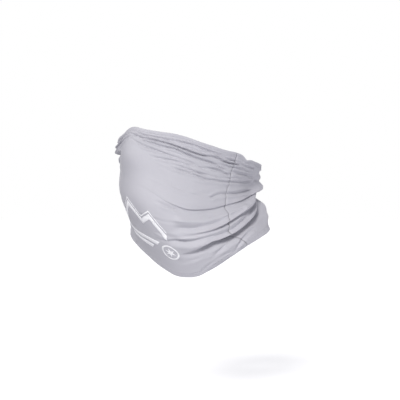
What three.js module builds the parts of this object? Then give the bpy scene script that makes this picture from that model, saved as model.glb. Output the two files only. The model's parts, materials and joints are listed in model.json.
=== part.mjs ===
// Neck gaiter in its worn shape: a tube of thin stretch knit pulled up over the nose and bunched at the nape.
// Millimetres. +Z is up, the wearer faces -Y and the wearer's left is +X.
// The origin lies on the axis of the neck, level with the lowest point of the bottom hem.
//
// Every piece is laid on one shared surface, the outer face of the cloth. A place on it is given by
//   angle  round the tube from the centre front, positive towards the wearer's left
//   share  down the tube, 0 at the top hem and 1 at the bottom hem
//   lift   out from the outer face, negative towards the skin

import * as THREE from 'three';
import { mergeVertices } from 'three/addons/utils/BufferGeometryUtils.js';
import { TessellateModifier } from 'three/addons/modifiers/TessellateModifier.js';

const DEGREE = Math.PI / 180;

// Cloth
const WALL = 1.2;
const CLEARANCE = 0.4;
const SEAM_OPENING = 0.4;

// Height of the tube
const RIM_HEIGHT_FRONT = 180;
const RIM_DROP_TO_CHEEK = 26;
const RIM_DROP_TO_EAR = 31;
const RIM_DROP_TO_NAPE = 50;
const HEM_RISE_TO_SIDE = 46;
const HEM_RISE_TO_NAPE = 58;

// Section at the top hem, over the nose and round to the nape
const RIM_HALF_WIDTH = 73;
const RIM_FRONT_DEPTH = 101;
const RIM_BACK_DEPTH = 106;

// Section at the mouth
const MOUTH_HALF_WIDTH = 69;
const MOUTH_FRONT_DEPTH = 101;
const MOUTH_BACK_DEPTH = 101;

// Section at the chin
const CHIN_HALF_WIDTH = 68;
const CHIN_FRONT_DEPTH = 107;
const CHIN_BACK_DEPTH = 100;

// Section at the throat
const THROAT_HALF_WIDTH = 75;
const THROAT_FRONT_DEPTH = 91;
const THROAT_BACK_DEPTH = 108;

// Section at the bottom hem, which follows the shoulders, turned from the head
const HEM_HALF_WIDTH = 84;
const HEM_FRONT_DEPTH = 70;
const HEM_BACK_DEPTH = 88;
const HEM_CENTRE_BACK = 16;
const SHOULDER_TURN = 29 * DEGREE;

// What the nose lifts
const NOSE_LIFT = 13;
const NOSE_SHARE = 0.18;
const NOSE_SHARE_SPREAD = 0.15;
const NOSE_ANGLE_SPREAD = 13 * DEGREE;

// Deep fold that hangs over the lower band, and the swoop under the jaw
const DEEP_FOLD_LIFT = 4.5;
const DEEP_FOLD_WIDTH = 11;
const DEEP_FOLD_SIDE = 95 * DEGREE;
const DEEP_FOLD_SIDE_SPREAD = 75 * DEGREE;
const DEEP_FOLD_NAPE = 200 * DEGREE;
const DEEP_FOLD_NAPE_SPREAD = 50 * DEGREE;
const SWOOP_LIFT = 2.6;
const SWOOP_WIDTH = 10;
const SWOOP_SIDE = 80 * DEGREE;
const SWOOP_SIDE_SPREAD = 70 * DEGREE;

// Side seams and their overlocked allowance, inside the tube
const SEAM_ANGLE_TOP = 91 * DEGREE;
const CLOTH_TWIST = 10 * DEGREE;
const ALLOWANCE_WIDTH = 5.5;
const ALLOWANCE_THICKNESS = 1.3;

// Hem stitching
const THREAD_RADIUS = 0.45;
const HEM_DEPTH = 7;
const STITCH_END_GAP = 2;

// Printed marks
const PRINT_THICKNESS = 0.3;
const RIDGE_MARK_WIDTH = 92;
const RIDGE_MARK_HEIGHT = 52;
const RIDGE_MARK_SHARE = 0.67;
const MARK_LINE = 3.4;
const BADGE_RADIUS = 12;
const BADGE_ANGLE = 30 * DEGREE;
const BADGE_SHARE = 0.83;

// Care label, sewn into the left seam
const LABEL_LENGTH = 22;
const LABEL_DROP = 16;
const LABEL_THICKNESS = 0.6;
const LABEL_SHARE = 0.8;

// Fineness of the curved pieces
const PANEL_COLUMNS = 30;
const PANEL_ROWS = 30;
const MARK_EDGE = 9;

// A smooth curve through [place, value] pairs, which keeps its end values beyond its ends.
function smoothCurve(pairs, ending = THREE.ZeroCurvatureEnding) {
  const places = pairs.map((pair) => pair[0]);
  const values = pairs.map((pair) => pair[1]);
  const interpolant = new THREE.CubicInterpolant(places, values, 1);
  interpolant.settings = { endingStart: ending, endingEnd: ending };
  const last = places[places.length - 1];
  return (place) => interpolant.evaluate(THREE.MathUtils.clamp(place, places[0], last))[0];
}

const sectionHalfWidth = smoothCurve([
  [0, RIM_HALF_WIDTH],
  [0.28, MOUTH_HALF_WIDTH],
  [0.5, CHIN_HALF_WIDTH],
  [0.75, THROAT_HALF_WIDTH],
  [1, HEM_HALF_WIDTH],
]);
const sectionFrontDepth = smoothCurve([
  [0, RIM_FRONT_DEPTH],
  [0.28, MOUTH_FRONT_DEPTH],
  [0.5, CHIN_FRONT_DEPTH],
  [0.75, THROAT_FRONT_DEPTH],
  [1, HEM_FRONT_DEPTH],
]);
const sectionBackDepth = smoothCurve([
  [0, RIM_BACK_DEPTH],
  [0.28, MOUTH_BACK_DEPTH],
  [0.5, CHIN_BACK_DEPTH],
  [0.75, THROAT_BACK_DEPTH],
  [1, HEM_BACK_DEPTH],
]);

// Height of the top hem, by the angle away from the centre front.
const rimHeight = smoothCurve([
  [0, RIM_HEIGHT_FRONT],
  [60 * DEGREE, RIM_HEIGHT_FRONT - RIM_DROP_TO_CHEEK],
  [90 * DEGREE, RIM_HEIGHT_FRONT - RIM_DROP_TO_EAR],
  [120 * DEGREE, RIM_HEIGHT_FRONT - 0.88 * RIM_DROP_TO_NAPE],
  [180 * DEGREE, RIM_HEIGHT_FRONT - RIM_DROP_TO_NAPE],
], THREE.ZeroSlopeEnding);

// Height of the bottom hem, by the angle away from the front of the shoulders.
const hemHeight = smoothCurve([
  [0, 0],
  [12 * DEGREE, 0.04 * HEM_RISE_TO_SIDE],
  [45 * DEGREE, 0.6 * HEM_RISE_TO_SIDE],
  [72 * DEGREE, HEM_RISE_TO_SIDE],
  [105 * DEGREE, 0.96 * HEM_RISE_TO_NAPE],
  [180 * DEGREE, HEM_RISE_TO_NAPE],
], THREE.ZeroSlopeEnding);

// Share of the height at which the deep fold runs, from the nape down to the throat.
const deepFoldShare = smoothCurve([
  [30 * DEGREE, 0.86],
  [60 * DEGREE, 0.76],
  [90 * DEGREE, 0.78],
  [115 * DEGREE, 0.66],
  [140 * DEGREE, 0.42],
  [180 * DEGREE, 0.4],
]);

// Share of the height at which the swoop under the jaw runs.
const swoopShare = smoothCurve([
  [0, 0.42],
  [40 * DEGREE, 0.6],
  [85 * DEGREE, 0.55],
  [125 * DEGREE, 0.34],
  [180 * DEGREE, 0.3],
]);

function angleBetween(first, second) {
  const difference = THREE.MathUtils.euclideanModulo(first - second + Math.PI, 2 * Math.PI) - Math.PI;
  return Math.abs(difference);
}

function bell(distance, spread) {
  return Math.exp(-((distance / spread) ** 2));
}

// Radius of a section that is rounder than an ellipse, with its own depth in front and behind.
function sectionRadius(angle, share) {
  const frontOrBack = Math.cos(angle) > 0 ? sectionFrontDepth(share) : sectionBackDepth(share);
  const across = Math.sin(angle) / sectionHalfWidth(share);
  const along = Math.cos(angle) / frontOrBack;
  return 1 / Math.hypot(across, along);
}

// Height of the tube at an angle, from its bottom hem to its top hem.
function tubeHeight(angle) {
  return rimHeight(angleBetween(angle, 0)) - hemHeight(angleBetween(angle, SHOULDER_TURN));
}

// How far the folds and the nose lift the cloth from the plain section.
function foldLift(angle, share) {
  const away = angleBetween(angle, 0);
  const height = tubeHeight(angle);
  const sideStrength = bell(angleBetween(angle, DEEP_FOLD_SIDE), DEEP_FOLD_SIDE_SPREAD);
  const napeStrength = bell(angleBetween(angle, DEEP_FOLD_NAPE), DEEP_FOLD_NAPE_SPREAD);
  const deepDistance = (share - deepFoldShare(away)) * height;
  const deepBell = bell(deepDistance + 0.5 * DEEP_FOLD_WIDTH, DEEP_FOLD_WIDTH);
  const deep = DEEP_FOLD_LIFT * (sideStrength + napeStrength) * deepBell;
  const swoopStrength = bell(angleBetween(angle, SWOOP_SIDE), SWOOP_SIDE_SPREAD);
  const swoopDistance = (share - swoopShare(away)) * height;
  const swoop = SWOOP_LIFT * swoopStrength * bell(swoopDistance + 0.5 * SWOOP_WIDTH, SWOOP_WIDTH);
  const nose = NOSE_LIFT * bell(away, NOSE_ANGLE_SPREAD) * bell(share - NOSE_SHARE, NOSE_SHARE_SPREAD);
  return deep + swoop + nose;
}

// A point of the outer face.
function outerFace(clothAngle, share) {
  const angle = clothAngle - CLOTH_TWIST * share;
  const shoulderShare = share ** 3;
  const turned = angle - SHOULDER_TURN * shoulderShare;
  const radius = sectionRadius(turned, share) + foldLift(angle, share);
  const height = hemHeight(angleBetween(angle, SHOULDER_TURN)) + (1 - share) * tubeHeight(angle);
  return new THREE.Vector3(
    radius * Math.sin(angle),
    HEM_CENTRE_BACK * shoulderShare - radius * Math.cos(angle),
    height,
  );
}

// A point that stands off the outer face by lift, along the face's normal.
function onCloth(angle, share, lift) {
  const angleStep = 0.5 * DEGREE;
  const shareStep = 0.005;
  const low = Math.max(share - shareStep, 0);
  const high = Math.min(share + shareStep, 1);
  const round = outerFace(angle + angleStep, share).sub(outerFace(angle - angleStep, share));
  const up = outerFace(angle, low).sub(outerFace(angle, high));
  const normal = round.cross(up).normalize();
  return outerFace(angle, share).addScaledVector(normal, lift);
}

// Lays a flat geometry on the cloth: place(x, y) gives [angle, share] and z becomes the lift.
function layOnCloth(flat, place) {
  const positions = flat.attributes.position;
  for (let index = 0; index < positions.count; index += 1) {
    const [angle, share] = place(positions.getX(index), positions.getY(index));
    const point = onCloth(angle, share, positions.getZ(index));
    positions.setXYZ(index, point.x, point.y, point.z);
  }
  flat.deleteAttribute('normal');
  flat.deleteAttribute('uv');
  const laid = mergeVertices(flat, 1e-4);
  laid.computeVertexNormals();
  return laid;
}

// A strip of cloth between two angles and two shares, from one lift to another.
function clothStrip(angles, shares, lifts, columns, rows) {
  const thickness = lifts[1] - lifts[0];
  const flat = new THREE.BoxGeometry(1, 1, thickness, columns, rows, 1);
  flat.translate(0.5, 0.5, lifts[0] + 0.5 * thickness);
  return layOnCloth(flat, (x, y) => {
    const share = shares(1 - y);
    return [THREE.MathUtils.lerp(angles[0](share), angles[1](share), x), share];
  });
}

// Angle covered by a width along the cloth at a place.
function angleForWidth(width, angle, share) {
  const step = 1 * DEGREE;
  const here = outerFace(angle, share);
  return (width * step) / outerFace(angle + step, share).distanceTo(here);
}

// Share covered by a length down the cloth at a place.
function shareForLength(length, angle, share) {
  const step = 0.02;
  const here = outerFace(angle, share);
  const next = outerFace(angle, share < 0.5 ? share + step : share - step);
  return (length * step) / next.distanceTo(here);
}

const wholeHeight = (share) => share;
const leftSeam = () => SEAM_ANGLE_TOP;
const rightSeam = () => -SEAM_ANGLE_TOP;

function besideSeam(seam, side, offset) {
  return (share) => seam(share) + side * angleForWidth(offset, seam(share), share);
}

function makeFrontPanel() {
  const angles = [besideSeam(rightSeam, 1, 0.5 * SEAM_OPENING), besideSeam(leftSeam, -1, 0.5 * SEAM_OPENING)];
  return clothStrip(angles, wholeHeight, [-WALL, 0], PANEL_COLUMNS, PANEL_ROWS);
}

function makeBackPanel() {
  const right = besideSeam(rightSeam, -1, 0.5 * SEAM_OPENING);
  const angles = [besideSeam(leftSeam, 1, 0.5 * SEAM_OPENING), (share) => right(share) + 2 * Math.PI];
  return clothStrip(angles, wholeHeight, [-WALL, 0], PANEL_COLUMNS, PANEL_ROWS);
}

function makeSeamAllowance(seam) {
  const angles = [besideSeam(seam, -1, 0.5 * ALLOWANCE_WIDTH), besideSeam(seam, 1, 0.5 * ALLOWANCE_WIDTH)];
  const outer = -WALL - CLEARANCE;
  return clothStrip(angles, wholeHeight, [outer - ALLOWANCE_THICKNESS, outer], 2, PANEL_ROWS);
}

// One line of stitches round a hem, which starts and ends at the left seam.
function makeHemStitching(edgeShare) {
  const towardsMiddle = edgeShare < 0.5 ? 1 : -1;
  const turns = 80;
  const points = [];
  for (let index = 0; index <= turns; index += 1) {
    const sweep = THREE.MathUtils.lerp(0, 2 * Math.PI, index / turns);
    let angle = SEAM_ANGLE_TOP + sweep;
    if (index === 0) {
      angle += angleForWidth(STITCH_END_GAP, angle, edgeShare);
    }
    if (index === turns) {
      angle -= angleForWidth(STITCH_END_GAP, angle, edgeShare);
    }
    const share = edgeShare + towardsMiddle * shareForLength(HEM_DEPTH, angle, edgeShare);
    points.push(onCloth(angle, share, CLEARANCE + THREAD_RADIUS));
  }
  const path = new THREE.CatmullRomCurve3(points);
  const section = new THREE.Shape();
  section.absarc(0, 0, THREAD_RADIUS, 0, 2 * Math.PI, false);
  const settings = { steps: turns, curveSegments: 3, bevelEnabled: false, extrudePath: path };
  const thread = new THREE.ExtrudeGeometry(section, settings);
  thread.deleteAttribute('normal');
  thread.deleteAttribute('uv');
  const merged = mergeVertices(thread, 1e-4);
  merged.computeVertexNormals();
  return merged;
}

// A flat mark, cut fine enough to bend, laid on the cloth about an angle and a share.
function layMark(shapes, angle, share) {
  const settings = { depth: PRINT_THICKNESS, bevelEnabled: false, curveSegments: 10 };
  const flat = new THREE.ExtrudeGeometry(shapes, settings);
  flat.translate(0, 0, CLEARANCE);
  const bendable = new TessellateModifier(MARK_EDGE, 8).modify(flat);
  const anglePerWidth = angleForWidth(1, angle, share);
  const sharePerLength = shareForLength(1, angle, share);
  return layOnCloth(bendable, (x, y) => [angle + x * anglePerWidth, share - y * sharePerLength]);
}

function polygonShape(corners) {
  return new THREE.Shape(corners.map(([x, y]) => new THREE.Vector2(x, y)));
}

// A band of even width under a zigzag line of ridge points.
function zigzagBand(line, width) {
  const lower = line.map(([x, y]) => [x, y - width]).reverse();
  return polygonShape([...line, ...lower]);
}

// Three peaks drawn as one band, with a level line and a short bar under them.
function makeRidgeMark() {
  const half = 0.5 * RIDGE_MARK_WIDTH;
  const top = 0.5 * RIDGE_MARK_HEIGHT;
  const valley = 0.1 * RIDGE_MARK_HEIGHT;
  const foot = -0.15 * RIDGE_MARK_HEIGHT;
  const ridge = [
    [-half, foot],
    [-0.62 * half, 0.55 * top],
    [-0.36 * half, valley],
    [0, top],
    [0.36 * half, valley],
    [0.6 * half, 0.6 * top],
    [half, foot],
  ];
  const upper = zigzagBand(ridge, 1.7 * MARK_LINE);
  return layMark([upper], 0, RIDGE_MARK_SHARE);
}

// A bar as wide as a share of the mark, at a height of its own.
function makeMarkBar(widthShare, heightShare) {
  const half = 0.5 * RIDGE_MARK_WIDTH * widthShare;
  const level = 0.5 * RIDGE_MARK_HEIGHT * heightShare;
  const bar = polygonShape([
    [-half, level],
    [-half + MARK_LINE, level - MARK_LINE],
    [half - MARK_LINE, level - MARK_LINE],
    [half, level],
  ]);
  return layMark([bar], 0, RIDGE_MARK_SHARE);
}

// A ring round the badge.
function makeBadgeRing() {
  const ring = new THREE.Shape();
  ring.absarc(0, 0, BADGE_RADIUS, 0, 2 * Math.PI, false);
  const hole = new THREE.Path();
  hole.absarc(0, 0, BADGE_RADIUS - 0.6 * MARK_LINE, 0, 2 * Math.PI, true);
  ring.holes.push(hole);
  return layMark([ring], BADGE_ANGLE, BADGE_SHARE);
}

// A six-armed star of one outline inside the ring.
function makeBadgeStar() {
  const arms = 6;
  const reach = 0.62 * BADGE_RADIUS;
  const waist = 0.24 * BADGE_RADIUS;
  const corners = [];
  for (let index = 0; index < 2 * arms; index += 1) {
    const radius = index % 2 === 0 ? reach : waist;
    const turn = (index * Math.PI) / arms;
    corners.push([radius * Math.sin(turn), radius * Math.cos(turn)]);
  }
  return layMark([polygonShape(corners)], BADGE_ANGLE, BADGE_SHARE);
}

// The label lies against the inside of the left seam's allowance, behind the front panel.
function makeCareLabel() {
  const outer = -WALL - 2 * CLEARANCE - ALLOWANCE_THICKNESS;
  const span = (edge) => (share) => SEAM_ANGLE_TOP - angleForWidth(edge, SEAM_ANGLE_TOP, share);
  const halfDrop = (0.5 * LABEL_DROP) / tubeHeight(SEAM_ANGLE_TOP);
  const shares = (x) => THREE.MathUtils.lerp(LABEL_SHARE - halfDrop, LABEL_SHARE + halfDrop, x);
  return clothStrip([span(LABEL_LENGTH), span(0)], shares, [outer - LABEL_THICKNESS, outer], 6, 4);
}

const knitLook = { color: 0xc9c8d0, roughness: 0.78, metalness: 0 };
const inkLook = { color: 0xf4f4f6, roughness: 0.55, metalness: 0 };
const threadLook = { color: 0xbcbbc4, roughness: 0.7, metalness: 0 };
const labelLook = { color: 0xeeeeee, roughness: 0.6, metalness: 0 };

const gaiter = new THREE.Group();

function addPiece(name, geometry, look) {
  const piece = new THREE.Mesh(geometry, new THREE.MeshStandardMaterial(look));
  piece.name = name;
  gaiter.add(piece);
}

addPiece('front_panel', makeFrontPanel(), knitLook);
addPiece('back_panel', makeBackPanel(), knitLook);
addPiece('left_seam_overlock', makeSeamAllowance(leftSeam), threadLook);
addPiece('right_seam_overlock', makeSeamAllowance(rightSeam), threadLook);
addPiece('top_hem_stitching', makeHemStitching(0), threadLook);
addPiece('bottom_hem_stitching', makeHemStitching(1), threadLook);
addPiece('ridge_mark', makeRidgeMark(), inkLook);
addPiece('upper_mark_bar', makeMarkBar(0.9, -0.62), inkLook);
addPiece('lower_mark_bar', makeMarkBar(0.55, -0.86), inkLook);
addPiece('badge_ring', makeBadgeRing(), inkLook);
addPiece('badge_star', makeBadgeStar(), inkLook);
addPiece('care_label', makeCareLabel(), labelLook);

export default gaiter;
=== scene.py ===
"""A neck gaiter worn up over the nose: a tube of thin stretch knit that has bunched at the nape.

The cloth is one surface in (cloth angle, distance down the cloth). Three deep folds, the gathers that
run back from the nose and the fine pull lines between them are laid into it in code.
Lengths are in millimetres and angles in degrees until a mesh is made, which is in metres.
"""

import json
import math

import bpy
import numpy as np
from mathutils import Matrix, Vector
from mathutils.geometry import delaunay_2d_cdt


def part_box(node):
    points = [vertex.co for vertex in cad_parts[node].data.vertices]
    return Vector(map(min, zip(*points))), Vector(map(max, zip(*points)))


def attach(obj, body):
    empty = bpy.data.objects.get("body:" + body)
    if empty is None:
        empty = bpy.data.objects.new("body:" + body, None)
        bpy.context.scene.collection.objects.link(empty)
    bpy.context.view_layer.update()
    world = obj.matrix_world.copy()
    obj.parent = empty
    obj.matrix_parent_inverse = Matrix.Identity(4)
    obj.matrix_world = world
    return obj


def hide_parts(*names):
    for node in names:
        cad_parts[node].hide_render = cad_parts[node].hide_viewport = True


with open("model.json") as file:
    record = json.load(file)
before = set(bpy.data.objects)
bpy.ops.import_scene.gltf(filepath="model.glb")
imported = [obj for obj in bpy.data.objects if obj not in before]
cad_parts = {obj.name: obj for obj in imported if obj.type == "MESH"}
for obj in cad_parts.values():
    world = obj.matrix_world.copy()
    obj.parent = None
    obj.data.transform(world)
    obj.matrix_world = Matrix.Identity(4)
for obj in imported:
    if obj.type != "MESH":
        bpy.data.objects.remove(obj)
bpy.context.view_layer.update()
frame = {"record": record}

MM = 0.001
CAD_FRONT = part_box("front_panel")
TUBE_HEIGHT = (CAD_FRONT[1].z - CAD_FRONT[0].z) / MM
CAD_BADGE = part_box("badge_ring")
BADGE_RADIUS = 0.5 * (CAD_BADGE[1].z - CAD_BADGE[0].z) / MM
SEED = 11

# ---- the worn shape

CLOTH_TWIST = 10
SHOULDER_TURN = 29
HEM_CENTRE_BACK = 16
NOSE_LIFT = 13
NOSE_HALF_ANGLE = 13
NOSE_SHARE = 0.18
NOSE_SPREAD = 0.15
LEFT_SEAM = 91
RIGHT_SEAM = 269

CLOTH_THICKNESS = 0.75
HEM_DEPTH = 7
HEM_STEP = 0.35
COLUMN_STEP = 1.0
ROWS = 256
LIP_RADIUS = 1.1
FOLD_ROUNDING = 0.5 * LIP_RADIUS
MM_PER_DEGREE = 1.5
SEAM_COLUMNS = [0.15, 0.5, 0.95, 1.5]
SETTLE_ROUNDS = 3
NORMAL_STEP_ANGLE = 1
NORMAL_STEP_SHARE = 0.01


def smooth_step(value):
    """0 below 0, 1 above 1, and an even rise between."""
    t = np.clip(value, 0, 1)
    return t * t * (3 - 2 * t)


def bell(distance, width):
    """1 at no distance, falling away smoothly over a width."""
    return np.exp(-((distance / width) ** 2))


def wrapped(angle):
    """An angle between -180 and 180 degrees."""
    return (np.asarray(angle, float) + 180) % 360 - 180


def smooth_curve(points, period=None):
    """A smooth line through given (place, value) points, level past its ends or repeating."""
    places, values = np.array(points, float).T
    if period:
        places = np.concatenate([places - period, places, places + period])
        values = np.tile(values, 3)
    slopes = np.gradient(values, places)

    def value_at(place):
        place = np.asarray(place, float)
        place = place % period if period else np.clip(place, places[0], places[-1])
        i = np.clip(np.searchsorted(places, place, side="right") - 1, 0, len(places) - 2)
        step = places[i + 1] - places[i]
        t = (place - places[i]) / step
        start = values[i] * (1 + 2 * t) * (1 - t) ** 2 + slopes[i] * step * t * (1 - t) ** 2
        end = values[i + 1] * (3 - 2 * t) * t**2 + slopes[i + 1] * step * (t - 1) * t**2
        return start + end

    return value_at


RIM_HEIGHT = smooth_curve(
    [
        (0, 179.5), (10, 176.5), (20, 173.5), (30, 171), (40, 166.5), (50, 161.5), (60, 157.5),
        (75, 152.5), (90, 149.5), (100, 146.5), (107, 143.5), (116, 140.5), (135, 136.5), (160, 133),
        (180, 132), (225, 137), (270, 147), (300, 157), (320, 163), (330, 165), (340, 168), (350, 172),
    ],
    period=360,
)
HEM_RISE = smooth_curve(
    [
        (0, 2.5), (6, 2.8), (12, 4.6), (19, 8.8), (28, 15), (45, 29), (64, 42.5), (79, 50),
        (101, 55), (140, 57), (180, 58),
    ]
)
HALF_WIDTH = smooth_curve([(0, 73), (0.28, 69), (0.5, 68), (0.75, 75), (1, 84)])
FRONT_DEPTH = smooth_curve([(0, 101), (0.28, 101), (0.5, 107), (0.75, 91), (1, 70)])
BACK_DEPTH = smooth_curve([(0, 106), (0.28, 101), (0.5, 100), (0.75, 108), (1, 88)])
SEAM_PATH = smooth_curve(
    [
        (0, 91), (0.1, 90), (0.2, 87.5), (0.3, 87), (0.4, 83), (0.5, 81), (0.55, 80.5), (0.68, 79.5),
        (0.8, 81), (0.84, 86), (0.9, 92), (1, 98),
    ]
)
SEAM_SPREAD = 50


def hem_height(angle):
    """How far the bottom edge stands above its lowest point, over the left collarbone."""
    return HEM_RISE(np.abs(wrapped(angle - SHOULDER_TURN)))


def tube_height(angle):
    """The straight distance from the rim down to the hem."""
    return RIM_HEIGHT(angle) - hem_height(angle)


# Soft swells and hollows of the worn shape: lift, cloth angle, spread round, share down, spread down.
SWELLS = [
    (2, -35, 20, 0.42, 0.12),
    (3, -30, 12, 0.09, 0.05),
    (-7, 132, 26, 0.36, 0.17),
]
EAR_NOTCH = 3
EAR_ANGLE = 107
EAR_SPREAD = 5
EAR_REACH = 0.06
BAND_PUSH = 9
BAND_DROP = 24
BAND_HEM_PULL = 5
BAND_HEM_START = 0.8
BAND_WINDOW = smooth_curve(
    [(90, 0), (108, 0.15), (125, 0.6), (140, 1), (155, 0.9), (180, 0.6), (220, 0.4), (255, 0)]
)


def base_surface(angle, share):
    """The worn tube with no folds, at a cloth angle and a share of the way from rim to hem."""
    around = angle - CLOTH_TWIST * share
    lean = share**3
    turn = np.radians(around - SHOULDER_TURN * lean)
    depth = np.where(np.cos(turn) > 0, FRONT_DEPTH(share), BACK_DEPTH(share))
    reach = 1 / np.hypot(np.sin(turn) / HALF_WIDTH(share), np.cos(turn) / depth)
    nose = bell(wrapped(around), NOSE_HALF_ANGLE) * bell(share - NOSE_SHARE, NOSE_SPREAD)
    reach = reach + NOSE_LIFT * nose
    for lift, middle, spread, down, reach_down in SWELLS:
        reach = reach + lift * bell(wrapped(angle - middle), spread) * bell(share - down, reach_down)
    radians = np.radians(around)
    height = hem_height(around) + (1 - share) * tube_height(around)
    height = height - EAR_NOTCH * bell(wrapped(around - EAR_ANGLE), EAR_SPREAD) * bell(share, EAR_REACH)
    height = height * TUBE_HEIGHT / RIM_HEIGHT(0)
    x = reach * np.sin(radians)
    y = HEM_CENTRE_BACK * lean - reach * np.cos(radians)
    return np.stack([x, y, height], -1)


# ---- folds, gathers and pull lines


class Fold:
    """A deep fold: the cloth above hangs over the cloth below, with the return hidden between them."""

    def __init__(self, line, depth, bulge, bulge_up, reach_up, tuck, reach_down, full):
        self.line = smooth_curve(line)
        self.depth_curve = smooth_curve(depth)
        self.bulge = bulge
        self.bulge_up = bulge_up
        self.reach_up = reach_up
        self.tuck = tuck
        self.reach_down = reach_down
        self.full = full

    def depth(self, angle):
        return np.maximum(self.depth_curve(angle % 360), 0)

    def turned_under(self, along, depth):
        """0 on the cloth above the fold, 1 on the cloth below it, with a round turn at each end."""
        drop = 0.5 * self.bulge + self.tuck
        turn = min(2 * LIP_RADIUS / drop, 0.45)
        lip = 0.5 + 0.5 * np.tanh(along / LIP_RADIUS)
        root = 0.5 + 0.5 * np.tanh((along - depth) / LIP_RADIUS)
        middle = smooth_step(along / np.maximum(depth, 0.01))
        return turn * (lip + root) + (1 - 2 * turn) * middle


# From the corner of the jaw, under the ear and round the nape at half the height.
CHEEK_SWOOP = Fold(
    line=[
        (8, 39), (20, 42.6), (29, 47.6), (38, 50.7), (56, 52.2), (80, 53.4), (102, 55), (122, 52),
        (138, 48.5), (160, 38), (180, 30), (210, 33), (240, 44), (270, 52), (300, 50), (320, 46),
    ],
    depth=[
        (8, 0), (20, 0.5), (33, 1.5), (40, 2.2), (55, 2), (80, 1.8), (100, 2.2), (125, 2.6),
        (150, 5), (180, 8), (210, 6), (240, 3), (280, 1), (300, 0),
    ],
    bulge=1.9, bulge_up=4, reach_up=9, tuck=1.7, reach_down=4, full=2.6,
)
# A tighter fold just above the deepest one.
THROAT_PLEAT = Fold(
    line=[
        (35, 70.5), (45, 69.6), (62, 69.3), (77, 69.2), (85, 68.6), (105, 67.4), (123, 64), (131, 59.5),
        (139, 53), (150, 44), (180, 36), (210, 40), (235, 52), (262, 66), (285, 70),
    ],
    depth=[
        (35, 0), (50, 1), (65, 2.5), (77, 4), (90, 3.5), (110, 4), (130, 5), (150, 8), (180, 9),
        (210, 7), (250, 4), (285, 0),
    ],
    bulge=3.2, bulge_up=4, reach_up=7, tuck=3.4, reach_down=3.4, full=4,
)
# The deepest fold: the face part of the tube hangs over the band that lies on the collar.
COLLAR_FOLD = Fold(
    line=[
        (36, 84), (45, 82), (54, 79.8), (62, 78.2), (70, 79.3), (80, 80.5), (100, 80.3), (108, 79),
        (118, 76.5), (128, 71.5), (136, 65), (144, 55), (152, 46), (180, 42), (210, 46), (235, 60),
        (262, 76), (290, 82), (310, 84),
    ],
    depth=[
        (38, 0), (50, 4), (60, 8), (75, 12), (90, 13), (110, 13), (135, 13), (180, 16), (200, 15),
        (225, 12), (255, 9), (280, 5), (300, 0),
    ],
    bulge=5.0, bulge_up=7, reach_up=13, tuck=6.6, reach_down=5.5, full=7,
)
FOLDS = [CHEEK_SWOOP, THROAT_PLEAT, COLLAR_FOLD]

# Creases that run back from the nose under the rim: depth, half width, (angle, percent down) points.
RIM_GATHERS = [
    (0.6, 0.9, [
        (2, 3), (10, 4), (20, 4.5), (30, 5), (46, 3.8), (57, 5), (70, 6), (87, 9), (102, 10.5), (131, 8.5),
    ]),
    (1.2, 0.9, [
        (1, 5), (9, 6), (19, 6.3), (30, 8), (41, 9.3), (51, 9.7), (59, 9), (66, 9), (83, 12), (102, 12.5),
    ]),
    (0.8, 0.9, [
        (4, 6.8), (12, 8), (20, 9.5), (30, 10.3), (42, 12.5), (52, 13.5), (60, 13.5), (67, 15.5),
        (83, 20.5),
    ]),
    (0.7, 1.0, [
        (2, 8), (10, 11), (19, 13), (30, 16), (43, 17.7), (54, 19.3), (64, 18.8), (81, 22.5), (90, 25),
    ]),
    (0.6, 1.0, [(16, 17.5), (25, 18.2), (36, 19), (48, 20.7)]),
    (0.6, 1.0, [(32, 21.5), (42, 23), (53, 24), (61, 25)]),
    (0.7, 1.0, [(29, 23.5), (41, 24.6), (54, 27.5), (69, 29), (90, 31.5), (101, 32), (121, 29), (139, 25)]),
    (0.7, 1.2, [(89, 20), (101, 22), (111, 20.5), (122, 20.5), (138, 20)]),
]
# Softer creases lower down, in the same form.
NECK_CREASES = [
    (1.3, 3.0, [
        (30, 74), (45, 73.5), (62, 73.3), (70, 75), (80, 76), (97, 74.5), (108, 72), (128, 64), (138, 56),
    ]),
    (1.0, 1.5, [(62, 43), (71, 41.6), (80, 42), (91, 43.4), (103, 44.8), (115, 43.5), (139, 41)]),
    (0.7, 1.5, [(22, 47.5), (27, 49.6), (34, 51.8), (40, 53.5)]),
    (0.9, 4.0, [(35, 64.5), (60, 65.5), (80, 65.5), (105, 64)]),
    (0.5, 3.0, [(35, 55.5), (60, 56.5), (85, 57.5), (110, 58)]),
    (-1.2, 5.0, [(33, 59.5), (60, 60.8), (85, 62), (110, 61)]),
    (-0.8, 2.2, [(38, 67.6), (60, 67.8), (85, 67.2), (105, 66)]),
    (-0.8, 2.0, [(36, 71.6), (60, 71.4), (85, 71.6), (105, 69.8)]),
    (2.2, 2.0, [(-50, 14), (-38, 15), (-28, 16), (-18, 15.5), (-8, 14)]),
    (0.8, 1.6, [(84, 96), (93, 91), (103, 88.5), (116, 88)]),
    (0.7, 2.2, [(64, 90), (76, 87), (88, 85.5)]),
    (0.25, 1.5, [(50, 98), (60, 95.5), (70, 93.5), (80, 95.5), (92, 99)]),
    (0.8, 2.2, [(148, 78), (160, 72), (185, 66), (215, 68)]),
    (0.8, 1.8, [(156, 84), (175, 79), (200, 77), (225, 80), (250, 88)]),
    (0.6, 1.5, [(165, 92), (190, 88), (215, 86), (240, 90)]),
    (0.9, 1.6, [(150, 10), (170, 13), (195, 12), (215, 15), (245, 19)]),
    (0.8, 1.8, [(140, 24), (165, 22), (190, 20), (220, 26), (255, 33)]),
]
CREASE_FADE = 8
CREASE_STRENGTH = 2.3
CREASE_EARLY_START = 0.35
VALLEY_SHARPNESS = 1.2
BANK_HEIGHT = 0.45
BANK_OFFSET = 2.3
BANK_SPREAD = 1.2
FAR_SIDE_SHARE = 0.8
FAR_SIDE_DROP = 1.5
FAR_SIDE_TURN = 6

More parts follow.
